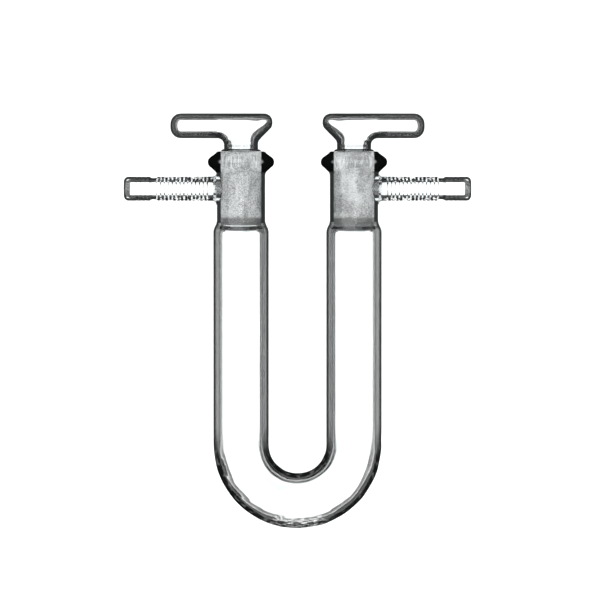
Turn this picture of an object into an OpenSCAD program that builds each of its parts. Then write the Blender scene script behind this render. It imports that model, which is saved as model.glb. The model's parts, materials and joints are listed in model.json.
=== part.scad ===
// U-shaped drying tube of blown glass, with two side arms and two hollow ground stoppers.
// It is drawn upright, as it is used, and then laid on its back, as it rests on a bench.

/* [U-tube] */
// Outside diameter of the limbs and the bend
limb_d = 20; // [18:0.5:24]
// Thickness of the glass in the limbs and the bend
limb_wall = 2.6; // [1.6:0.1:3]
// Distance between the axes of the two limbs
limb_spacing = 40.8; // [38:0.2:60]
// Straight length of each limb, from the bend up to its shoulder
limb_len = 77.5; // [50:0.5:120]

/* [Sockets] */
// Outside diameter of each socket
socket_d = 17.4; // [16.8:0.1:19]
// Height of the sloping shoulder between limb and socket
shoulder_h = 2.7; // [1.5:0.1:5]
// Length of each socket, from the shoulder to its mouth
socket_len = 25.6; // [24:0.1:32]
// Widest diameter of the bead round each mouth
bead_d = 24; // [21:0.1:27]
// Diameter of the rounding along the widest line of the bead
bead_round = 4.4; // [3:0.1:5]
// Distance from the mouth down to the widest line of the bead
bead_drop = 3.8; // [3.4:0.1:5]

/* [Ground joints] */
// Diameter of each ground plug at its wide end
plug_d = 14.8; // [14:0.1:15]
// Length of each ground plug
plug_len = 26; // [22:0.5:28]
// How much the diameter falls along each millimetre of the plug
taper = 0.1; // [0.1:0.01:0.12]
// Gap all round between plug and socket
joint_gap = 0.05; // [0.02:0.01:0.1]

/* [Side arms] */
// Outside diameter of each side arm
arm_d = 8.7; // [7:0.1:10]
// Bore of each side arm
arm_bore_d = 4.7; // [3:0.1:5]
// Distance from the axis of a limb to the tip of its arm
arm_reach = 42.3; // [42:0.1:60]
// Distance from the mouth of the socket down to the axis of the arm
arm_drop = 13.4; // [12:0.1:16]
// Number of ridges that grip the hose
ridge_count = 13; // [3:1:14]
// Distance from one ridge to the next
ridge_pitch = 1.4; // [1:0.1:1.6]
// Depth of the notch between two ridges
ridge_depth = 0.4; // [0.2:0.05:0.6]
// Width of the notch between two ridges
notch_w = 0.45; // [0.3:0.05:0.45]
// Length of the nozzle, from its first notch to the tip
nozzle_len = 30.1; // [29.5:0.1:31]
// Depth of the smooth waist
waist_depth = 0.5; // [0.4:0.1:1]
// Length of the smooth waist between the ridges and the tip
waist_len = 2.4; // [1.5:0.1:4]
// Opening in the rounded tip
tip_bore_d = 3.6; // [2:0.1:4.6]

/* [Stoppers] */
// Thickness of the glass in the stoppers
stopper_wall = 2; // [1.4:0.1:2.2]
// Outside diameter of the neck between plug and handle
neck_d = 12.3; // [10.8:0.1:13]
// Outside diameter of the handle
handle_d = 9; // [8.2:0.1:10]
// Distance from the mouth of the socket up to the axis of the handle
handle_rise = 9.3; // [9:0.1:14]
// Distance from the axis of the limb to the outer end of the handle
handle_reach = 25.5; // [20:0.1:40]
// Distance from the axis of the limb to the inner end of the handle
handle_back = 11.4; // [10:0.1:12]
// Rounding of the handle's outer end
handle_round = 3.8; // [2.4:0.1:3.9]
// Rounding of the handle's inner end, above its sloping underside
knee_round = 3; // [2.2:0.1:3.5]

/* [Hidden] */
$fn = 96;

clear_glass = [0.84, 0.88, 0.88, 0.5];
ground_glass = [0.7, 0.72, 0.71];

limb_r = limb_d / 2;
limb_bore_r = limb_r - limb_wall;
bend_r = limb_spacing / 2;
socket_r = socket_d / 2;
arm_r = arm_d / 2;
arm_bore_r = arm_bore_d / 2;
neck_r = neck_d / 2;
handle_r = handle_d / 2;

// Heights up each limb, from the lowest point of the bend
limb_foot = bend_r + limb_r;
shoulder_foot = limb_foot + limb_len;
socket_foot = shoulder_foot + shoulder_h;
mouth = socket_foot + socket_len;
arm_h = mouth - arm_drop;
handle_h = mouth + handle_rise;
handle_top = handle_h + handle_r;
knee_drop = 1;
knee_h = handle_h - handle_r - knee_drop;

// The ground cone: the plug's wide end sits a little below the mouth
plug_sunk = 0.4;
plug_top = mouth - plug_sunk;
plug_foot = plug_top - plug_len;
under_plug = 1;
narrow_len = 3.2;
function plug_r(h) = plug_d / 2 - (plug_top - h) * taper / 2;
function ground_r(h) = plug_r(h) + joint_gap;

// The bead: a round edge, with slopes down to the socket and up to the lip
bead_h = mouth - bead_drop;
bead_slope = 1.7;
bead_c = (bead_d - bead_round) / 2;
edge_x = bead_c + bead_round / 2 * cos(60);
edge_rise = bead_round / 2 * sin(60);
lip_round = 0.8;
lip_c = ground_r(mouth) + lip_round;

// Along each side arm, from the axis of the limb outward
// The collar starts inside the wall of the socket and clears the curve of its side
collar_fillet = 1.4;
collar_sunk = 2.6;
collar_lift = 0.2;
collar_start = socket_r - collar_sunk;
root_start = socket_r + collar_fillet + collar_lift;
notch_rise = notch_w * 0.3;
notch_fall = notch_w - notch_rise;
ridge_start = arm_reach - nozzle_len;
waist_start = ridge_start + ridge_count * ridge_pitch;
waist_r = arm_r - waist_depth;
tip_start = waist_start + waist_len;
tip_ring_count = 3;
tip_ring_pitch = 1.6;
tip_round = 1.7;
tip_draw = 1.1;

// Lying down, the tube rests on its two beads and on the lowest turn of the bend
rest_tilt = asin((bead_d / 2 - limb_r) / (bead_h - limb_r));
lying_len = limb_r + (handle_h - limb_r) * cos(rest_tilt) + handle_r;

// Points on an arc about [cx, cy], from angle a0 to angle a1
function arc(cx, cy, r, a0, a1, steps = 10) =
    [for (i = [0:steps]) let (a = a0 + (a1 - a0) * i / steps) [cx + r * cos(a), cy + r * sin(a)]];

// Lays the upright tube on its back, with the limbs pointing along +Y and the bench at z = 0
module lay_down() {
    translate([0, limb_r - lying_len / 2, limb_r])
        rotate([rest_tilt - 90, 0, 0])
            translate([0, 0, -limb_r])
                children();
}

// Places its children on both limbs, with +X pointing away from the other limb
module on_limb(side) {
    translate([side * bend_r, 0, 0])
        rotate([0, 0, side < 0 ? 180 : 0])
            children();
}

// Turns a shape that stands on the XY plane so that it runs outward along +X at a height
module outward(h, start = 0) {
    translate([start, 0, h])
        rotate([0, 90, 0])
            children();
}

// Half ring of round glass that joins the two limbs, or its bore
module bend(r) {
    translate([0, 0, limb_foot])
        rotate([-90, 0, 0])
            rotate_extrude(angle = 180)
                translate([bend_r, 0])
                    circle(r);
}

// Outside of a limb with its shoulder and socket
module limb_outside() {
    translate([0, 0, limb_foot])
        cylinder(r = limb_r, h = limb_len);
    translate([0, 0, shoulder_foot])
        cylinder(r1 = limb_r, r2 = socket_r, h = shoulder_h);
    translate([0, 0, socket_foot])
        cylinder(r = socket_r, h = mouth - lip_round - socket_foot);
}

// Bead and lip round the mouth of a socket
module bead() {
    rotate_extrude() {
        translate([bead_c, bead_h])
            circle(d = bead_round);
        polygon([
            [ground_r(bead_h), bead_h - bead_round],
            [socket_r, bead_h - bead_round / 2 - bead_slope],
            [edge_x, bead_h - edge_rise],
            [edge_x, bead_h + edge_rise],
            [lip_c + lip_round, mouth - lip_round],
            [ground_r(bead_h), mouth - lip_round]
        ]);
        translate([lip_c, mouth - lip_round])
            circle(lip_round);
    }
}

// Bore of a limb, its narrowing shoulder and the ground socket
module limb_bore() {
    narrow_top = plug_foot - under_plug;
    narrow_foot = narrow_top - narrow_len;
    translate([0, 0, limb_foot])
        cylinder(r = limb_bore_r, h = narrow_foot - limb_foot);
    translate([0, 0, narrow_foot])
        cylinder(r1 = limb_bore_r, r2 = ground_r(narrow_top), h = narrow_len);
    translate([0, 0, narrow_top])
        cylinder(r1 = ground_r(narrow_top), r2 = ground_r(mouth), h = mouth - narrow_top);
}

// Outline of a row of ridges, each steep on the side of the limb and sloping towards the tip
function ridges(start, count, pitch, depth) = [
    for (s = [for (i = [0:count - 1]) start + i * pitch])
        each [[arm_r - depth, s], [arm_r, s + notch_rise], [arm_r, s + pitch - notch_fall]],
    [arm_r - depth, start + count * pitch]
];

// Outside of a side arm: collar, smooth root, ridges, waist, rings and rounded tip
module arm_outside() {
    outward(arm_h)
        rotate_extrude()
            polygon(concat(
                [[0, collar_start], [arm_r + collar_fillet, collar_start]],
                arc(arm_r + collar_fillet, root_start, collar_fillet, 270, 180),
                [[arm_r, ridge_start - notch_fall]],
                ridges(ridge_start, ridge_count, ridge_pitch, ridge_depth),
                [[waist_r, waist_start + waist_len / 3], [waist_r, waist_start + waist_len * 2 / 3]],
                ridges(tip_start, tip_ring_count, tip_ring_pitch, ridge_depth / 2),
                [[arm_r, tip_start + tip_ring_count * tip_ring_pitch + notch_rise]],
                arc(arm_r - tip_round, arm_reach - tip_round, tip_round, 0, 90),
                [[0, arm_reach]]
            ));
}

// Bore of a side arm, drawn in at the rounded tip
module arm_bore() {
    outward(arm_h)
        cylinder(r = arm_bore_r, h = arm_reach - 2 * tip_draw);
    outward(arm_h, arm_reach - 2 * tip_draw)
        cylinder(r1 = arm_bore_r, r2 = tip_bore_d / 2, h = tip_draw);
    outward(arm_h, arm_reach - tip_draw)
        cylinder(d = tip_bore_d, h = 2 * tip_draw);
}

// Both limbs, the bend, the sockets and the side arms, blown and fused into one piece
module u_tube() {
    color(clear_glass)
        lay_down()
            difference() {
                union() {
                    bend(limb_r);
                    for (side = [-1, 1])
                        on_limb(side) {
                            limb_outside();
                            bead();
                            arm_outside();
                        }
                }
                bend(limb_bore_r);
                for (side = [-1, 1])
                    on_limb(side) {
                        limb_bore();
                        arm_bore();
                    }
            }
}

// Ground cone of a stopper, with a rounded shoulder up to its neck
module plug_outside() {
    shoulder = plug_r(plug_top) - neck_r;
    translate([0, 0, plug_foot])
        cylinder(r1 = plug_r(plug_foot), r2 = plug_r(plug_top), h = plug_len);
    translate([0, 0, plug_top])
        rotate_extrude()
            intersection() {
                union() {
                    square([neck_r, shoulder]);
                    translate([neck_r, 0])
                        circle(shoulder);
                }
                square([neck_r + shoulder, shoulder]);
            }
}

// Outline of the handle's inner end: from the neck up a 45 degree slope and over the top
function knee_outline(inset) = let (lift = inset * tan(22.5)) concat(
    [
        [0, knee_h + lift],
        [neck_r - inset, knee_h + lift],
        [handle_back - inset, knee_h + handle_back - neck_r + lift]
    ],
    arc(handle_back - knee_round, handle_top - knee_round, knee_round - inset, 0, 90),
    [[0, handle_top - inset]]
);

// Closed end of a round bar, with its edge rounded
module round_end(r, edge) {
    rotate_extrude()
        intersection() {
            union() {
                square([r - edge, edge]);
                translate([r - edge, 0])
                    circle(edge);
            }
            square([r, edge]);
        }
}

// Neck, inner end and long outer end of a handle, or the hollow inside them
module handle_body(inset) {
    dome_r = neck_r - inset;
    dome_h = handle_top - neck_r;
    bar_len = handle_reach - handle_round;
    translate([0, 0, plug_top - inset])
        cylinder(r = dome_r, h = dome_h - plug_top + inset);
    translate([0, 0, dome_h])
        sphere(dome_r);
    intersection() {
        rotate_extrude()
            polygon(knee_outline(inset));
        outward(dome_h, -handle_back)
            cylinder(r = dome_r, h = handle_back);
    }
    outward(handle_h)
        cylinder(r = handle_r - inset, h = bar_len);
    outward(handle_h, bar_len)
        round_end(handle_r - inset, handle_round - inset);
}

// A stopper: hollow ground plug, open below, with a port that lines up with the side arm
module stopper(side) {
    lay_down()
        on_limb(side)
            difference() {
                union() {
                    plug_outside();
                    handle_body(0);
                }
                translate([0, 0, plug_foot])
                    cylinder(
                        r1 = plug_r(plug_foot) - stopper_wall,
                        r2 = plug_r(plug_top) - stopper_wall,
                        h = plug_len - stopper_wall
                    );
                handle_body(stopper_wall);
                outward(arm_h)
                    cylinder(r = arm_bore_r, h = plug_d);
            }
}

module stopper_left() {
    color(ground_glass)
        stopper(-1);
}

module stopper_right() {
    color(ground_glass)
        stopper(1);
}

u_tube();
stopper_left();
stopper_right();
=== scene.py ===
import json
import math

import bmesh
import bpy
from mathutils import Matrix, Vector, noise


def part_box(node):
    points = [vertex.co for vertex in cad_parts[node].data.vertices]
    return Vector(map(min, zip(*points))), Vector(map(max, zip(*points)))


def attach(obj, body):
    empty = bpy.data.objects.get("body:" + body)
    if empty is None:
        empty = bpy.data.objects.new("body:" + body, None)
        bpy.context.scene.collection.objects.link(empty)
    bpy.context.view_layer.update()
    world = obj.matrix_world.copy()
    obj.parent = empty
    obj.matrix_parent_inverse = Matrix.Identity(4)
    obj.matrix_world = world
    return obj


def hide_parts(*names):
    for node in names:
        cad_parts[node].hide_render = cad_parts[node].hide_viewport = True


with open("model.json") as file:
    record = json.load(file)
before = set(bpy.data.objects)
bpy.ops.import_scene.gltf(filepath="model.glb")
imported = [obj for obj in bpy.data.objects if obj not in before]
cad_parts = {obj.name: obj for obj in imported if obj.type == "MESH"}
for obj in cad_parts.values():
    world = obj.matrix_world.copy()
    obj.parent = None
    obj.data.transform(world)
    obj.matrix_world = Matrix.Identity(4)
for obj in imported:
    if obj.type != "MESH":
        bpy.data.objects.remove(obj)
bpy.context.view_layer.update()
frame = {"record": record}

joints = {joint["name"]: joint for joint in frame["record"]["behaviour"]["joints"]}
tubeLow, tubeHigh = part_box("u_tube")
mm = 0.001

# Everything is shaped upright, in millimetres, with z = 0 at the mouths of the sockets,
# and then laid down along the axis of the left stopper's joint.
mouthPoint = Vector(joints["left_stopper_turn"]["pos_m"])
upAxis = Vector(joints["left_stopper_turn"]["axis"]).normalized()
limbX = abs(mouthPoint.x) / mm
armReach = tubeHigh[0] / mm - limbX
backAxis = upAxis.cross(Vector((1, 0, 0)))
layDown = Matrix.Translation((0, mouthPoint.y, mouthPoint.z)) @ Matrix((
    (1, backAxis.x, upAxis.x, 0),
    (0, backAxis.y, upAxis.y, 0),
    (0, backAxis.z, upAxis.z, 0),
    (0, 0, 0, 1))) @ Matrix.Scale(mm, 4)

print("sizes read")


def onBody(name, bm, body, node, materials):
    bm.transform(layDown)
    mesh = bpy.data.meshes.new(name)
    for edge in bm.edges:
        edge.smooth = len(edge.link_faces) == 2 and edge.calc_face_angle() < math.radians(38)
    for face in bm.faces:
        face.smooth = True
    bm.to_mesh(mesh)
    bm.free()
    piece = bpy.data.objects.new(name, mesh)
    bpy.context.scene.collection.objects.link(piece)
    for material in materials:
        mesh.materials.append(material)
    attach(piece, body)
    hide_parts(node)
    return piece


def ringAt(x, z, turn, radius, depth=None):
    # a flat ring: radius across the object, depth from front to back
    size = Matrix.Diagonal((radius, depth or radius, 1, 1))
    return Matrix.Translation((x, 0, z)) @ Matrix.Rotation(turn, 4, "Y") @ size


def loft(rings, segments, closed=False):
    # rings is a list of (matrix, slot): one skin drawn out through all the rings,
    # ending in flat caps or, when closed, meeting its own start
    bm = bmesh.new()
    start = bmesh.ops.create_circle(
        bm, cap_ends=not closed, segments=segments, radius=1.0, matrix=rings[0][0])["verts"]
    edges = list({edge for vert in start for edge in vert.link_edges})
    stops = rings[1:] + ([rings[0]] if closed else [])
    for (place, _), (before, slot) in zip(stops, rings):
        grown = bmesh.ops.extrude_edge_only(bm, edges=edges)["geom"]
        verts = [part for part in grown if isinstance(part, bmesh.types.BMVert)]
        bmesh.ops.transform(bm, matrix=place @ before.inverted(), verts=verts)
        edges = [part for part in grown if isinstance(part, bmesh.types.BMEdge) and part.is_boundary]
        for face in (part for part in grown if isinstance(part, bmesh.types.BMFace)):
            face.material_index = slot
    if closed:
        bmesh.ops.remove_doubles(bm, verts=start + verts, dist=0.02)
    else:
        bmesh.ops.contextual_create(bm, geom=edges)
    bmesh.ops.recalc_face_normals(bm, faces=bm.faces)
    if bm.calc_volume(signed=True) < 0:
        bmesh.ops.reverse_faces(bm, faces=bm.faces)
    return bm


def arcPoints(centre, radius, start, end, steps):
    turns = [math.radians(start + (end - start) * i / steps) for i in range(steps + 1)]
    return [(centre[0] + radius * math.cos(t), centre[1] + radius * math.sin(t)) for t in turns]


def spaced(points, step):
    # adds points so that no stretch of an outline is longer than step
    out = [points[0]]
    for a, b in zip(points, points[1:]):
        count = max(1, math.ceil(math.dist(a, b) / step))
        out += [(a[0] + (b[0] - a[0]) * i / count, a[1] + (b[1] - a[1]) * i / count)
                for i in range(1, count + 1)]
    return out


def softened(points, rounding=0.6, steps=4):
    # rounds each inner corner of an outline, as flame-worked glass has no sharp edges
    out = [points[0]]
    for before, corner, after in zip(points, points[1:], points[2:]):
        b, c, a = Vector(before), Vector(corner), Vector(after)
        p = c + (b - c).normalized() * min(rounding, (b - c).length / 2)
        q = c + (a - c).normalized() * min(rounding, (a - c).length / 2)
        for i in range(steps + 1):
            t = i / steps
            out.append(tuple(p * (1 - t) ** 2 + c * 2 * t * (1 - t) + q * t ** 2))
    return out + [points[-1]]


def cleaned(bm, smallest=0.002):
    # takes out the slivers without area that an exact Boolean can leave along a seam
    bmesh.ops.remove_doubles(bm, verts=bm.verts, dist=smallest)
    bmesh.ops.dissolve_degenerate(bm, edges=bm.edges, dist=smallest)
    for crowded in (edge for edge in bm.edges[:] if edge.is_valid and len(edge.link_faces) > 2):
        slivers = [face for face in crowded.link_faces if face.calc_area() < smallest ** 2]
        bmesh.ops.delete(bm, geom=slivers, context="FACES_ONLY")
    loose = [vert for vert in bm.verts if not vert.link_faces]
    bmesh.ops.delete(bm, geom=loose, context="VERTS")


def cut(bm, tool, operation):
    # one exact Boolean between two bmeshes
    holders = []
    for name, source in (("cutBody", bm), ("cutTool", tool)):
        mesh = bpy.data.meshes.new(name)
        source.to_mesh(mesh)
        source.free()
        holder = bpy.data.objects.new(name, mesh)
        bpy.context.scene.collection.objects.link(holder)
        holders.append(holder)
    step = holders[0].modifiers.new("cut", "BOOLEAN")
    step.operation = operation
    step.solver = "EXACT"
    step.object = holders[1]
    shape = holders[0].evaluated_get(bpy.context.evaluated_depsgraph_get())
    result = bmesh.new()
    result.from_mesh(shape.to_mesh())
    cleaned(result)
    for holder in holders:
        mesh = holder.data
        bpy.data.objects.remove(holder)
        bpy.data.meshes.remove(mesh)
    return result


groundJoint = {"plugTop": -0.4, "plugLength": 26.0, "plugRadius": 7.4, "taper": 0.05, "gap": 0.05}


def groundRadius(h):
    # radius of the ground cone in the socket at height h
    g = groundJoint
    return g["plugRadius"] + g["gap"] - (g["plugTop"] - h) * g["taper"]


# the U, in millimetres: z heights are below the mouths
tube = {
    "segments": 96,
    "limbRadius": 10.0, "boreRadius": 7.4,
    "limbFoot": -105.8,  # where the bend begins
    "shoulderFoot": -28.3, "shoulderTop": -25.6, "belowShoulder": 3.0,
    "socketRadius": 8.7,
    "beadHeight": -3.8, "beadCentre": 9.8, "beadRound": 2.2, "beadFoot": -7.7,
    "lipRound": 0.8,
    "narrowFoot": -28.7, "narrowTop": -27.4,  # the bore closes in from limb to ground cone
    "ringStep": 1.0, "bendSteps": 120, "limbStep": 1.6,
    "boreWobble": 0.07, "skinWobble": 0.4, "longWave": 9.0, "shortWave": 3.2, "shortShare": 0.3,
    "evenWobble": 0.2}  # how much of the bore's unevenness is left in the straight limbs

# material slots of the tube's one piece of glass
skin = {"limb": 0, "socket": 1, "ground": 2, "leftBead": 3, "rightBead": 4,
        "arm": 5, "tip": 6, "armBore": 7, "mouth": 8}


def socketOutline():
    # from the top of the lip down the outside to the foot of the limb: (radius, height)
    s = tube
    lipCentre = (groundRadius(0) + s["lipRound"], -s["lipRound"])
    beadCentre = (s["beadCentre"], s["beadHeight"])
    lip = arcPoints(lipCentre, s["lipRound"], 90, 20, 5)
    beadEdge = arcPoints(beadCentre, s["beadRound"], 60, -60, 14)
    below = softened([
        beadEdge[-1], (s["socketRadius"], s["beadFoot"]), (s["socketRadius"], s["shoulderTop"]),
        (s["limbRadius"], s["shoulderFoot"]),
        (s["limbRadius"], s["shoulderFoot"] - s["belowShoulder"])], 1.0, 5)
    return lip + beadEdge + spaced(below[1:], s["ringStep"])


def boreOutline():
    # from the foot of the limb up the inside to the top of the lip
    s = tube
    corners = [
        (s["boreRadius"], s["narrowFoot"] - s["belowShoulder"]), (s["boreRadius"], s["narrowFoot"]),
        (groundRadius(s["narrowTop"]), s["narrowTop"]), (groundRadius(-s["lipRound"]), -s["lipRound"])]
    lipCentre = (groundRadius(0) + s["lipRound"], -s["lipRound"])
    lip = arcPoints(lipCentre, s["lipRound"], 170, 110, 4)
    return spaced(softened(corners, 0.8, 5), s["ringStep"]) + lip


def throughBend(radius):
    # stations down the left limb, round the bend and up the right limb
    s = tube
    top = (s["shoulderFoot"] if radius == s["limbRadius"] else s["narrowFoot"]) - s["belowShoulder"]
    count = math.ceil((top - s["limbFoot"]) / s["limbStep"])
    heights = [top + (s["limbFoot"] - top) * i / count for i in range(1, count)]
    left = [ringAt(-limbX, h, 0, radius) for h in heights]
    turns = [math.pi * i / s["bendSteps"] for i in range(s["bendSteps"] + 1)]
    bend = [ringAt(-limbX * math.cos(t), s["limbFoot"] - limbX * math.sin(t), -t, radius)
            for t in turns]
    right = [ringAt(limbX, h, math.pi, radius) for h in reversed(heights)]
    return left + bend + right


def makeTube():
    outside, inside = socketOutline(), boreOutline()
    rings = [(ringAt(-limbX, h, 0, r), outsideSlot(h, "leftBead")) for r, h in outside]
    rings += [(place, skin["limb"]) for place in throughBend(tube["limbRadius"])]
    rings += [(ringAt(limbX, h, math.pi, r), outsideSlot(h, "rightBead"))
              for r, h in reversed(outside)]
    rings += [(ringAt(limbX, h, math.pi, r), insideSlot(h)) for r, h in reversed(inside)]
    rings += [(place, skin["limb"]) for place in reversed(throughBend(tube["boreRadius"]))]
    rings += [(ringAt(-limbX, h, 0, r), insideSlot(h)) for r, h in inside]
    bm = loft(rings, tube["segments"], closed=True)
    unevenGlass(bm)
    return bm


def reamer(side):
    # clears the ground bore again where an arm has been let into its wall
    over, span = 0.01, 7.5  # past the cone, and past the root of the arm on either side
    rings = [(ringAt(side * limbX, h, 0, groundRadius(h) + over), skin["ground"])
             for h in (arm["height"] - span, arm["height"] + span)]
    return loft(rings, tube["segments"])


def outsideSlot(h, bead):
    if h > tube["beadFoot"] + 0.3:
        return skin[bead]
    return skin["socket"] if h > tube["shoulderTop"] else skin["limb"]


def insideSlot(h):
    return skin["ground"] if tube["narrowTop"] <= h < -tube["lipRound"] else skin["limb"]


def unevenGlass(bm):
    # drawn and bent tube is never quite even: most of it in the wall of the bend
    moves = []
    for vert in bm.verts:
        inBend = max(0.0, min(1.0, (tube["limbFoot"] + 6 - vert.co.z) / 12))
        below = max(0.0, min(1.0, (tube["narrowFoot"] - 4 - vert.co.z) / 6))
        long = noise.noise(vert.co / tube["longWave"])
        short = noise.noise(vert.co / tube["shortWave"])
        spine = limbSpine(vert.co)
        if (vert.co - spine).length < (tube["limbRadius"] + tube["boreRadius"]) / 2:
            uneven = tube["evenWobble"] + (1 - tube["evenWobble"]) * inBend
            size = tube["boreWobble"] * (long + tube["shortShare"] * short) * uneven
        else:
            size = -abs(tube["skinWobble"] * long) * inBend
        moves.append((vert, (vert.co - spine).normalized() * size * below))
    for vert, move in moves:
        vert.co += move


def limbSpine(point):
    # the nearest point on the line through both limbs and the bend
    foot = tube["limbFoot"]
    if point.z > foot:
        return Vector((math.copysign(limbX, point.x), 0, point.z))
    across = Vector((point.x, 0, point.z - foot)).normalized() * limbX
    return Vector((across.x, 0, foot + across.z))


# the side arms: lengths run outwards from the axis of the limb
arm = {
    "segments": 64,
    "height": -13.4, "radius": 4.35, "bore": 2.35,
    "start": 6.1, "collar": 1.4, "rootStart": 10.3,
    "nozzleLength": 30.1, "ridges": 13, "pitch": 1.4, "notch": 0.45, "depth": 0.4,
    "notchRise": 0.3, "notchFall": 0.7,  # shares of the notch
    "waistLength": 2.4, "waistDepth": 0.5,
    "tipRings": 3, "tipPitch": 1.6,
    "tipRound": 1.7, "tipDraw": 1.1, "tipBore": 1.8, "tipFlare": 0.5,
    "pinhole": 0.5}  # radius of the flat caps a loft starts and ends on


def ridgeRow(start, count, pitch, depth):
    row = []
    rise, fall = arm["notch"] * arm["notchRise"], arm["notch"] * arm["notchFall"]
    for i in range(count):
        s = start + i * pitch
        row += [(arm["radius"] - depth, s), (arm["radius"], s + rise),
                (arm["radius"], s + pitch - fall)]
    return row + [(arm["radius"] - depth, start + count * pitch)]


def armOutline():
    # (radius, distance from the axis of the limb, slot)
    a = arm
    ridgeStart = armReach - a["nozzleLength"]
    waistStart = ridgeStart + a["ridges"] * a["pitch"]
    tipStart = waistStart + a["waistLength"]
    waist = a["radius"] - a["waistDepth"]
    collar = arcPoints((a["radius"] + a["collar"], a["rootStart"]), a["collar"], 270, 180, 8)
    rows = [collar[-1], (a["radius"], ridgeStart - a["notch"] * a["notchFall"])]
    rows += ridgeRow(ridgeStart, a["ridges"], a["pitch"], a["depth"])
    rows += [(waist, waistStart + a["waistLength"] * third / 3) for third in (1, 2)]
    rows += ridgeRow(tipStart, a["tipRings"], a["tipPitch"], a["depth"] / 2)
    rows += [(a["radius"], tipStart + a["tipRings"] * a["tipPitch"] + a["notch"] * a["notchRise"])]
    end = arcPoints((a["radius"] - a["tipRound"], armReach - a["tipRound"]), a["tipRound"], 0, 90, 10)
    rows += [end[0]]
    lead = [(a["pinhole"], a["start"]), (collar[0][0], a["start"])]
    outline = lead + collar + softened(rows, 0.12, 2)[1:] + end[1:] + [(a["pinhole"], armReach)]
    return [(r, s, skin["arm"] if s < waistStart + 0.3 else skin["tip"]) for r, s in outline]


def armBoreOutline():
    a = arm
    narrow = armReach - 2 * a["tipDraw"]
    corners = [(a["bore"], 0), (a["bore"], narrow), (a["tipBore"], narrow + a["tipDraw"]),
               (a["tipBore"], armReach - a["tipFlare"]), (a["tipBore"] + a["tipFlare"], armReach + 0.1)]
    bore = spaced(softened(corners, 0.5, 3), tube["ringStep"])
    outline = [(a["pinhole"], 0)] + bore + [(a["pinhole"], armReach + 0.1)]
    wall = tube["socketRadius"]
    return [(r, s, skin["armBore"] if wall < s < narrow - 0.4 else skin["mouth"]) for r, s in outline]


def alongArm(outline, side):
    rings = [(ringAt(side * (limbX + s), arm["height"], math.pi / 2, r), slot)
             for r, s, slot in outline]
    return loft(rings, arm["segments"])


# the stoppers: heights are above the mouth of the socket
stopper = {
    "segments": 96,
    "wall": 2.0, "neckRadius": 6.15,
    "barHeight": 9.3, "barRadius": 4.5, "reach": 25.5, "back": 11.4,
    "endRound": 3.8, "kneeRound": 3.0, "kneeFoot": 3.8, "fillet": 2.4,
    "kneeExtra": -0.3,  # more or less glass at the knee than in the rest of the wall
    "kneeSteps": 30, "barSteps": 14, "endSteps": 10,
    "hollowShoulder": 9.0, "hollowTop": 1.5,  # the hollow narrows between these depths in the plug
    "hollowSlim": 0.4, "plugEdge": 0.3,
    "portStart": 3.0, "portEnd": 9.5}


def headSections(inset):
    # (inner point, outer point, depth) of each section from the neck round the knee
    s = stopper
    under, top = s["barHeight"] - s["barRadius"], s["barHeight"] + s["barRadius"]
    pivot = Vector((s["neckRadius"] + s["fillet"], under - s["fillet"]))
    if inset:
        inset += s["kneeExtra"]
    lift = inset * math.tan(math.radians(22.5))
    slopeTop = (-s["back"] + inset, s["kneeFoot"] + s["back"] - s["neckRadius"] + lift)
    corner = (-s["back"] + s["kneeRound"], top - s["kneeRound"])
    knee = softened([
        (-s["neckRadius"] + inset, pivot.y - 6), (-s["neckRadius"] + inset, s["kneeFoot"] + lift),
        slopeTop,
        (corner[0] - s["kneeRound"] + inset, corner[1])], 0.9, 4)
    knee += arcPoints(corner, s["kneeRound"] - inset, 170, 90, 8) + [(pivot.x + 6, top - inset)]
    sections = []
    for i in range(s["kneeSteps"] + 1):
        share = i / s["kneeSteps"]
        turn = math.pi / 2 * share
        ray = Vector((-math.cos(turn), math.sin(turn)))
        outer = hit(pivot, ray, knee)
        eased = (3 - 2 * share) * share ** 2
        depth = s["neckRadius"] + (s["barRadius"] - s["neckRadius"]) * eased - inset
        sections.append((pivot + ray * (s["fillet"] + inset), outer, depth))
    return sections


def hit(origin, ray, outline):
    # where a ray from origin meets an outline, at its furthest
    best = None
    for a, b in zip(outline, outline[1:]):
        along = Vector(b) - Vector(a)
        bottom = ray.x * along.y - ray.y * along.x
        if abs(bottom) < 1e-9:
            continue
        gap = Vector(a) - origin
        t = (gap.x * along.y - gap.y * along.x) / bottom
        u = (gap.x * ray.y - gap.y * ray.x) / bottom
        if -1e-6 <= u <= 1 + 1e-6 and t > 0 and (best is None or t > best):
            best = t
    return origin + ray * best


def barEnd(inset):
    # along the bar to its closed outer end: (x, radius)
    s = stopper
    radius, edge = s["barRadius"] - inset, s["endRound"] - inset
    centre = s["reach"] - inset - edge
    start = s["neckRadius"] + s["fillet"]
    points = [(start + (centre - start) * i / s["barSteps"], radius) for i in range(1, s["barSteps"])]
    for i in range(s["endSteps"] + 1):
        t = math.pi / 2 * i / s["endSteps"]
        points.append((centre + edge * math.sin(t), radius - edge + edge * math.cos(t)))
    return points


def headRings(inset, side, slot):
    rings = []
    for inner, outer, depth in headSections(inset):
        middle = (inner + outer) / 2
        across = (inner - outer) / 2
        turn = math.atan2(-across.y, across.x)
        rings.append((ringAt(middle.x, middle.y, turn, across.length, depth), slot))
    for x, radius in barEnd(inset):
        rings.append((ringAt(x, stopper["barHeight"], math.pi / 2, radius), slot))
    return [(mirrored(place, side), slot) for place, slot in rings]


def mirrored(place, side):
    # a stopper is shaped with its handle along +X, then set on its limb
    away = Matrix.Identity(4) if side > 0 else Matrix.Rotation(math.pi, 4, "Z")
    return Matrix.Translation((side * limbX, 0, 0)) @ away @ place


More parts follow.
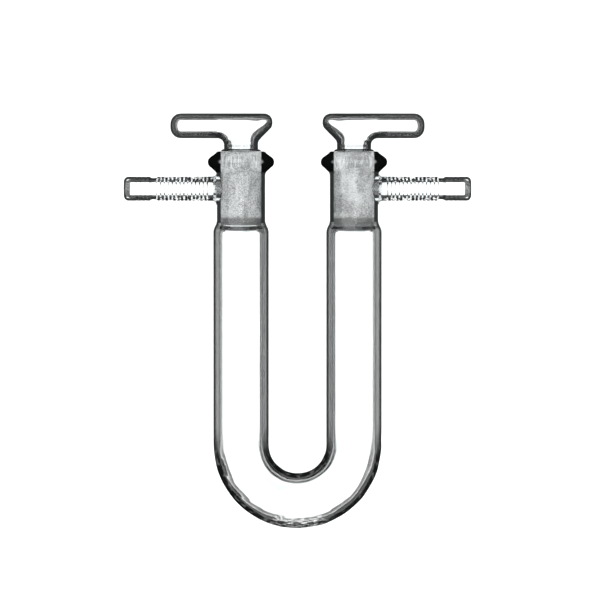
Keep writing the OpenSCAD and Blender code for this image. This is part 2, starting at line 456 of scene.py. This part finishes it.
def makeStopper(side):
    clear, ground = 0, 1
    s, g = stopper, groundJoint
    foot = g["plugTop"] - g["plugLength"]
    footRadius = g["plugRadius"] - g["plugLength"] * g["taper"]
    edge = g["plugRadius"] - s["neckRadius"]
    neckTop = s["barHeight"] - s["barRadius"] - s["fillet"]
    cone = spaced([(footRadius - s["plugEdge"], foot), (footRadius, foot + s["plugEdge"]),
                   (g["plugRadius"], g["plugTop"])], tube["ringStep"])
    shoulder = arcPoints((s["neckRadius"], g["plugTop"]), edge, 0, 90, 8)[1:]
    neck = [(s["neckRadius"], h) for h in (
        g["plugTop"] + edge + 0.4, (g["plugTop"] + edge + neckTop) / 2)]
    wall = s["wall"]
    hollow = softened([
        (footRadius - wall, foot),
        (g["plugRadius"] - wall - s["hollowSlim"], g["plugTop"] - s["hollowShoulder"]),
        (s["neckRadius"] - wall, g["plugTop"] - s["hollowTop"]),
        (s["neckRadius"] - wall, neckTop - 0.5)], 1.5, 6)
    hollow = spaced(hollow, tube["ringStep"])
    outside = [(mirrored(ringAt(0, h, 0, r), side), ground if h < g["plugTop"] - 0.01 else clear)
               for r, h in cone + shoulder + neck]  # the ring at the top of the cone is clear
    inside = [(mirrored(ringAt(0, h, 0, r), side), clear) for r, h in hollow]
    rings = list(reversed(headRings(0, side, clear)))
    rings += [(place, ground if i and outside[i][1] == ground else clear)
              for i, (place, _) in reversed(list(enumerate(outside)))]
    rings += inside + headRings(wall, side, clear)
    bm = loft(rings, s["segments"])
    port = [(r, at, clear) for r, at in (
        (arm["pinhole"], s["portStart"]), (arm["bore"], s["portStart"]),
        (arm["bore"], s["portEnd"]), (arm["pinhole"], s["portEnd"]))]
    return cut(bm, alongArm(port, side), "DIFFERENCE")


# Seen from inside the glass, a wall turned away past the critical angle of 43 degrees reflects all
# light; from there on a near-black surface is mixed in as painted shade, and border is its colour.
# The stops of each look are (how far it is turned away, share of painted shade).
clearLook = {"colour": "fbfcfc", "lampTint": "f4f6f6", "border": "242626", "ior": 1.47}
totalReflectionShade = [(0.25, 0.0), (0.272, 0.985)]
smooth = {"interpolation_type": "SMOOTHSTEP"}


def linear(code):
    # sRGB hex to linear colour
    parts = [int(code[i:i + 2], 16) / 255 for i in (0, 2, 4)]
    return [c / 12.92 if c <= 0.04045 else ((c + 0.055) / 1.055) ** 2.4 for c in parts] + [1]


def addNode(tree, kind, settings=None, links=None):
    # a link comes from a socket or from a node's first output, or it is a plain value
    node = tree.nodes.new("ShaderNode" + kind)
    for name, value in (settings or {}).items():
        if name == "stops":
            while len(node.color_ramp.elements) < len(value):
                node.color_ramp.elements.new(0.5)
            for element, (at, colour) in zip(node.color_ramp.elements, value):
                element.position = at
                element.color = colour
        elif name in node.inputs:
            node.inputs[name].default_value = value
        else:
            setattr(node, name, value)
    for place, source in (links or {}).items():
        if isinstance(source, bpy.types.Node):
            source = source.outputs[0]
        if isinstance(source, bpy.types.NodeSocket):
            tree.links.new(source, node.inputs[place])
        else:
            node.inputs[place].default_value = source
    return node


def newMaterial(name):
    material = bpy.data.materials.new(name)
    material.use_nodes = True
    material.node_tree.nodes.clear()
    return material, material.node_tree


def roundNormal(tree, centre, keep):
    # the direction straight out from an axis through centre, as on a plain tube without its ridges
    place = addNode(tree, "TexCoord").outputs["Object"]
    out = addNode(tree, "Mapping", {
        "Location": [-c * k for c, k in zip(centre, keep)], "Scale": keep}, {"Vector": place})
    unit = addNode(tree, "VectorMath", {"operation": "NORMALIZE"}, {0: out})
    return addNode(tree, "VectorTransform", {
        "vector_type": "NORMAL", "convert_from": "OBJECT", "convert_to": "WORLD"}, {"Vector": unit})


def wallShade(tree, inside, outside, normal=None):
    # Share of painted shade by the angle of the wall, which paints the dark borders of tubing:
    # inside is for walls seen through the glass, outside for walls seen from the air.
    behind = addNode(tree, "NewGeometry").outputs["Backfacing"]
    facing = addNode(tree, "LayerWeight", {"Blend": 0.5}, {"Normal": normal} if normal else None)
    shades = [addNode(tree, "ValToRGB", {"stops": [(at, (grey, grey, grey, 1)) for at, grey in stops]},
                      {"Fac": facing.outputs["Facing"]}) for stops in (outside, inside)]
    return addNode(tree, "Mix", links={0: behind, 2: shades[0], 3: shades[1]})


def finishGlass(tree, surface):
    # lamps shine through thin clear glass, so it throws hardly any shadow
    through = addNode(tree, "BsdfTransparent", {"Color": linear(clearLook["lampTint"])})
    lamp = addNode(tree, "LightPath").outputs["Is Shadow Ray"]
    mix = addNode(tree, "MixShader", links={0: lamp, 1: surface, 2: through})
    addNode(tree, "OutputMaterial", links={"Surface": mix})


def clearGlass(tree, shade, thin=None, dark=None):
    # clear colourless borosilicate, smooth from the flame; thin is where it bends light least
    glass = addNode(tree, "BsdfPrincipled", {
        "Base Color": linear(clearLook["colour"]), "Roughness": 0.0, "IOR": clearLook["ior"],
        "Transmission Weight": 1.0})
    # edge is a near-black surface mixed in by shade: the painted shade of the glass's dark borders
    edge = addNode(tree, "BsdfPrincipled", {"Roughness": 0.5, "Specular IOR Level": 0.0},
                   {"Base Color": dark or linear(clearLook["border"])})
    surface = addNode(tree, "MixShader", links={0: shade, 1: glass, 2: edge})
    if thin:
        straight = addNode(tree, "BsdfTransparent", {"Color": linear(clearLook["lampTint"])})
        surface = addNode(tree, "MixShader", links={0: thin, 1: surface, 2: straight})
    finishGlass(tree, surface)


tubingLook = {
    "limbInside": [(0.25, 0.0), (0.272, 0.985), (0.3, 0.95), (0.33, 0.88)],
    "limbOutside": [(0.52, 0.0), (0.62, 0.8), (0.72, 0.985)],
    "bendInside": [(0.26, 0.0), (0.272, 1.0)], "bendOutside": [(0.42, 0.0), (0.5, 1.0)],
    # bendDark and bendStreak are the colours of the bend's streaked painted shade
    "bendDark": "0e0f0f", "bendStreak": "4a4c4c", "streakSize": 2.2,
    "above": 8, "fade": 14,  # where the darker wall begins above the bend, and over what length
    "glintSize": 0.7, "glintStart": 6, "glintFull": 3.5,  # heights above the lowest turn
    "glintWide": 16, "glintNarrow": 5, "glintShade": 0.15}


def tubing():
    # Drawn tube with even walls: painted grey shade at its borders, edged by darker lines. The bend has
    # been heated and bent; there the painted shade is darker and streaked, with a painted glint, a
    # patch where the painted shade thins, at its lowest turn.
    look = tubingLook
    material, tree = newMaterial("drawnBorosilicate")
    limb = wallShade(tree, look["limbInside"], look["limbOutside"])
    bend = wallShade(tree, look["bendInside"], look["bendOutside"])
    place = addNode(tree, "TexCoord").outputs["Object"]
    axes = addNode(tree, "SeparateXYZ", links={"Vector": place}).outputs
    bendTop = mouthPoint.y + (tube["limbFoot"] + look["above"]) * mm
    lowest = tubeLow[1]
    patch = addNode(tree, "Mapping", {"Scale": (0.3, 1, 1)}, {"Vector": place})
    glintNoise = addNode(tree, "TexNoise", {
        "Scale": 1 / (look["glintSize"] * mm), "Detail": 3.0, "Roughness": 0.6}, {"Vector": patch})
    # noise that streaks the painted shade of the bend
    drawn = addNode(tree, "TexNoise", {
        "Scale": 1 / (look["streakSize"] * mm), "Detail": 2.0}, {"Vector": place})
    width = addNode(tree, "Math", {"operation": "ABSOLUTE"}, {0: axes["X"]})
    share = {}
    for word, source, start, end in (
            ("foot", axes["Y"], lowest + look["glintStart"] * mm, lowest + look["glintFull"] * mm),
            ("middle", width, look["glintWide"] * mm, look["glintNarrow"] * mm),
            ("glint", glintNoise, 0.5, 0.6),
            ("bent", axes["Y"], bendTop, bendTop - look["fade"] * mm),
            ("streak", drawn, 0.52, 0.7)):
        share[word] = addNode(tree, "MapRange", {
            **smooth, "From Min": start, "From Max": end}, {"Value": source})
    # painted glint: the painted shade thins in noisy patches at the lowest turn
    glint = share["glint"]
    for within in ("foot", "middle"):
        glint = addNode(tree, "Mix", links={0: share[within], 2: 0.0, 3: glint})
    wall = addNode(tree, "Mix", links={0: share["bent"], 2: limb, 3: bend})
    shade = addNode(tree, "Mix", links={0: glint, 2: wall, 3: look["glintShade"]})
    # the colour of the painted shade, darker and streaked in the bend
    wavy = addNode(tree, "Mix", {"data_type": "RGBA"}, {
        0: share["streak"], 6: linear(look["bendDark"]), 7: linear(look["bendStreak"])})
    dark = addNode(tree, "Mix", {"data_type": "RGBA"}, {
        0: share["bent"], 6: linear(clearLook["border"]), 7: wavy.outputs[2]})
    clearGlass(tree, shade, dark=dark.outputs[2])
    return material


def worked(name, inside, outside):
    # glass shaped in the flame: smooth, clear in the middle, with painted shade towards its edges
    material, tree = newMaterial(name)
    clearGlass(tree, wallShade(tree, inside, outside))
    return material


beadLook = {
    # dark is the colour of the painted shade at the bead's sides
    "dark": "080909", "clearTo": 7.0, "darkFrom": 7.5,  # distances from the axis of the joint
    "faceClear": 0.16, "faceDark": 0.3}


def solidBead(name, side):
    # A thick solid ring round the ground joint: clear over the joint and where its faces are turned
    # to the eye, and painted black shade at its sides, where it bends light away.
    look = beadLook
    material, tree = newMaterial(name)
    axis = layDown @ Vector((side * limbX, 0, tube["beadHeight"]))
    normal = roundNormal(tree, axis, (1, 0, 1))
    rounded = addNode(tree, "LayerWeight", {"Blend": 0.5}, {"Normal": normal}).outputs["Facing"]
    own = addNode(tree, "LayerWeight", {"Blend": 0.5}).outputs["Facing"]
    place = addNode(tree, "TexCoord").outputs["Object"]
    out = addNode(tree, "Mapping", {
        "Location": (-axis.x, 0, -axis.z), "Scale": (1, 0, 1)}, {"Vector": place})
    radius = addNode(tree, "VectorMath", {"operation": "LENGTH"}, {0: out}).outputs["Value"]
    cosine = addNode(tree, "Math", {"operation": "SUBTRACT"}, {0: 1.0, 1: rounded})
    squared = addNode(tree, "Math", {"operation": "MULTIPLY"}, {0: cosine, 1: cosine})
    remainder = addNode(tree, "Math", {"operation": "SUBTRACT"}, {0: 1.0, 1: squared})
    sine = addNode(tree, "Math", {"operation": "SQRT"}, {0: remainder})
    past = addNode(tree, "Math", {"operation": "MULTIPLY"}, {0: radius, 1: sine})
    beside = addNode(tree, "MapRange", {
        **smooth, "From Min": look["clearTo"] * mm, "From Max": look["darkFrom"] * mm}, {"Value": past})
    turned = addNode(tree, "MapRange", {
        **smooth, "From Min": look["faceClear"], "From Max": look["faceDark"]}, {"Value": own})
    shade = addNode(tree, "Math", {"operation": "MULTIPLY"}, {0: beside, 1: turned})
    clearGlass(tree, shade, dark=linear(look["dark"]))
    return material


ridgeLook = {
    # dark is the colour of the painted shade; the lighter patches keep only part of it
    "inside": [(0.9, 0.0), (1.0, 0.0)], "outside": [(0.28, 0.0), (0.38, 0.985)],
    "dark": "121313", "patchSize": 1.6, "patchShadeShare": 0.35, "notchShade": 0.06, "notchClear": 0.85}


def ridged():
    # Moulded ridges: painted shade darkens the lands towards the edges of the arm and the notches
    # between them stay bright, so the border breaks up into ticks; noise lightens the painted shade
    # in patches, so never quite evenly.
    look = ridgeLook
    material, tree = newMaterial("mouldedBorosilicate")
    normal = roundNormal(tree, armAxis, (0, 1, 1))
    land = wallShade(tree, look["inside"], look["outside"], normal)
    facing = addNode(tree, "LayerWeight", {"Blend": 0.5}, {"Normal": normal}).outputs["Facing"]
    real = addNode(tree, "NewGeometry").outputs["Normal"]
    across = addNode(tree, "SeparateXYZ", links={"Vector": real}).outputs["X"]
    slope = addNode(tree, "Math", {"operation": "ABSOLUTE"}, {0: across})
    place = addNode(tree, "TexCoord").outputs["Object"]
    uneven = addNode(tree, "TexNoise", {
        "Scale": 1 / (look["patchSize"] * mm), "Detail": 1.0}, {"Vector": place})
    share = {}
    for word, source, start, end in (
            ("rim", facing, 0.62, 0.76), ("steep", slope, 0.15, 0.4),
            ("fullShade", uneven, 0.36, 0.44), ("open", uneven, 0.6, 0.56)):
        share[word] = addNode(tree, "MapRange", {
            **smooth, "From Min": start, "From Max": end}, {"Value": source})
    withinRim = addNode(tree, "Math", {"operation": "SUBTRACT"}, {0: 1.0, 1: share["rim"]})
    notch = share["steep"]
    for factor in (withinRim, share["open"]):
        notch = addNode(tree, "Math", {"operation": "MULTIPLY"}, {0: notch, 1: factor})
    border = addNode(tree, "Mix", links={0: notch, 2: land, 3: look["notchShade"]})
    # the painted shade, lightened in noisy patches
    shadePatches = addNode(tree, "Mix", links={0: share["fullShade"], 2: look["patchShadeShare"], 3: 1.0})
    shade = addNode(tree, "Math", {"operation": "MULTIPLY"}, {0: border, 1: shadePatches})
    thin = addNode(tree, "Math", {"operation": "MULTIPLY"}, {0: notch, 1: look["notchClear"]})
    clearGlass(tree, shade, thin, linear(look["dark"]))
    return material


groundLook = {
    # foot is the colour of the painted shade at the foot of the cone
    "dark": "6a6c6c", "light": "b4b6b6", "foot": "4c4e4e",
    "streakSize": 4.5, "gritSize": 0.5,  # real grit is under 0.1 mm: drawn coarser so that it shows
    "footStart": 3.2, "footFull": 1.8, "roughness": 0.6, "through": 0.14}


def groundGlass():
    # Borosilicate ground with fine grit: white-grey and matt, with wiped and greased streaks,
    # and painted shade at the foot of the cone, where the edge of the plug is thick.
    look = groundLook
    material, tree = newMaterial("groundBorosilicate")
    place = addNode(tree, "TexCoord").outputs["Object"]
    along = addNode(tree, "Mapping", {
        "Scale": (1, 0.45, 1), "Rotation": (0, 0, math.radians(38))}, {"Vector": place})
    streaks = addNode(tree, "TexNoise", {
        "Scale": 1 / (look["streakSize"] * mm), "Detail": 4.0, "Roughness": 0.62, "Distortion": 0.6},
        {"Vector": along})
    grit = addNode(tree, "TexNoise", {
        "Scale": 1 / (look["gritSize"] * mm), "Detail": 2.0}, {"Vector": place})
    both = addNode(tree, "Mix", links={0: 0.5, 2: streaks, 3: grit})
    tone = addNode(tree, "ValToRGB", {
        "stops": [(0.42, linear(look["dark"])), (0.58, linear(look["light"]))]}, {"Fac": both})
    height = addNode(tree, "SeparateXYZ", links={"Vector": place}).outputs["Y"]
    foot = mouthPoint.y + (groundJoint["plugTop"] - groundJoint["plugLength"]) * mm
    # painted shade at the foot of the cone
    low = addNode(tree, "MapRange", {
        **smooth, "From Min": foot + look["footStart"] * mm, "From Max": foot + look["footFull"] * mm},
        {"Value": height})
    shaded = addNode(tree, "Mix", {"data_type": "RGBA"}, {0: low, 6: tone, 7: linear(look["foot"])})
    bump = addNode(tree, "Bump", {"Strength": 0.25, "Distance": 0.05 * mm}, {"Height": grit})
    surface = addNode(tree, "BsdfPrincipled", {
        "Roughness": look["roughness"], "IOR": clearLook["ior"],
        "Transmission Weight": look["through"]},
        {"Base Color": shaded.outputs[2], "Normal": bump})
    finishGlass(tree, surface)
    return material


armAxis = layDown @ Vector((0, 0, arm["height"]))
tubeSkins = {
    "limb": tubing(),
    "socket": worked("workedSocket", totalReflectionShade, [(0.42, 0.0), (0.48, 0.985)]),
    "ground": groundGlass(),
    "leftBead": solidBead("leftSolidBead", -1),
    "rightBead": solidBead("rightSolidBead", 1),
    "arm": ridged(),
    "tip": worked("firePolishedTip", totalReflectionShade, [(0.32, 0.0), (0.4, 0.985)]),
    "armBore": worked("drawnArmBore", totalReflectionShade, [(0.9, 0.0), (1.0, 0.5)]),
    # the mouth keeps painted shade wherever it is seen through the glass, for its thick drawn-in end
    "mouth": worked("drawnMouth", [(0.0, 0.9), (1.0, 0.95)], [(0.6, 0.0), (0.8, 0.9)])}
headSkin = worked("workedBorosilicate", totalReflectionShade, [(0.36, 0.0), (0.44, 0.985)])
print("materials made")

bm = makeTube()
print("tube lofted", len(bm.faces))
for side in (-1, 1):
    bm = cut(bm, alongArm(armOutline(), side), "UNION")
    bm = cut(bm, alongArm(armBoreOutline(), side), "DIFFERENCE")
    bm = cut(bm, reamer(side), "DIFFERENCE")
print("arms joined", len(bm.faces))
slots = sorted(skin, key=skin.get)
onBody("uTubeGlass", bm, "tube", "u_tube", [tubeSkins[word] for word in slots])

for side, word in ((-1, "left"), (1, "right")):
    onBody(word + "StopperGlass", makeStopper(side), word + "_tap", "stopper_" + word,
           [headSkin, tubeSkins["ground"]])
print("stoppers made")

stage = {
    "floorSize": 3.0, "floorColour": "f6f6f6",
    "lamps": {"keyLight": ((-0.8, 0.55, 1.8), 56), "fillLight": ((1.0, -0.5, 1.65), 40)},
    "lampSize": 3.4,  # wide, so that the tube shows no streaks of light
    "surround": 0.85,
    "viewWidth": 0.2168, "viewCentre": (0.0009, 0.0076), "viewHeight": 0.011,
    "cameraDistance": 1.4, "sensor": 36.0}

floorBm = bmesh.new()
bmesh.ops.create_grid(floorBm, x_segments=1, y_segments=1, size=stage["floorSize"] / 2)
floorMesh = bpy.data.meshes.new("floor")
floorBm.to_mesh(floorMesh)
floorBm.free()
floor = bpy.data.objects.new("floor", floorMesh)
bpy.context.scene.collection.objects.link(floor)
material, tree = newMaterial("mattPaper")
paper = addNode(tree, "BsdfPrincipled", {
    "Base Color": linear(stage["floorColour"]), "Roughness": 0.9, "Specular IOR Level": 0.2})
addNode(tree, "OutputMaterial", links={"Surface": paper})
floorMesh.materials.append(material)

for name, (place, power) in stage["lamps"].items():
    light = bpy.data.lights.new(name, "AREA")
    light.shape = "DISK"
    light.size = stage["lampSize"]
    light.energy = power
    holder = bpy.data.objects.new(name, light)
    bpy.context.scene.collection.objects.link(holder)
    holder.location = place
    holder.rotation_euler = (-Vector(place)).to_track_quat("-Z", "Y").to_euler()

world = bpy.data.worlds.new("studio")
bpy.context.scene.world = world
world.use_nodes = True
world.node_tree.nodes["Background"].inputs["Color"].default_value = (1, 1, 1, 1)
world.node_tree.nodes["Background"].inputs["Strength"].default_value = stage["surround"]
bpy.context.scene.view_settings.view_transform = "Standard"

camera = bpy.data.objects.new("camera", bpy.data.cameras.new("camera"))
bpy.context.scene.collection.objects.link(camera)
camera.data.sensor_width = stage["sensor"]
camera.data.lens = stage["sensor"] * stage["cameraDistance"] / stage["viewWidth"]
camera.location = (*stage["viewCentre"], stage["viewHeight"] + stage["cameraDistance"])
bpy.context.scene.camera = camera
print("stage set")
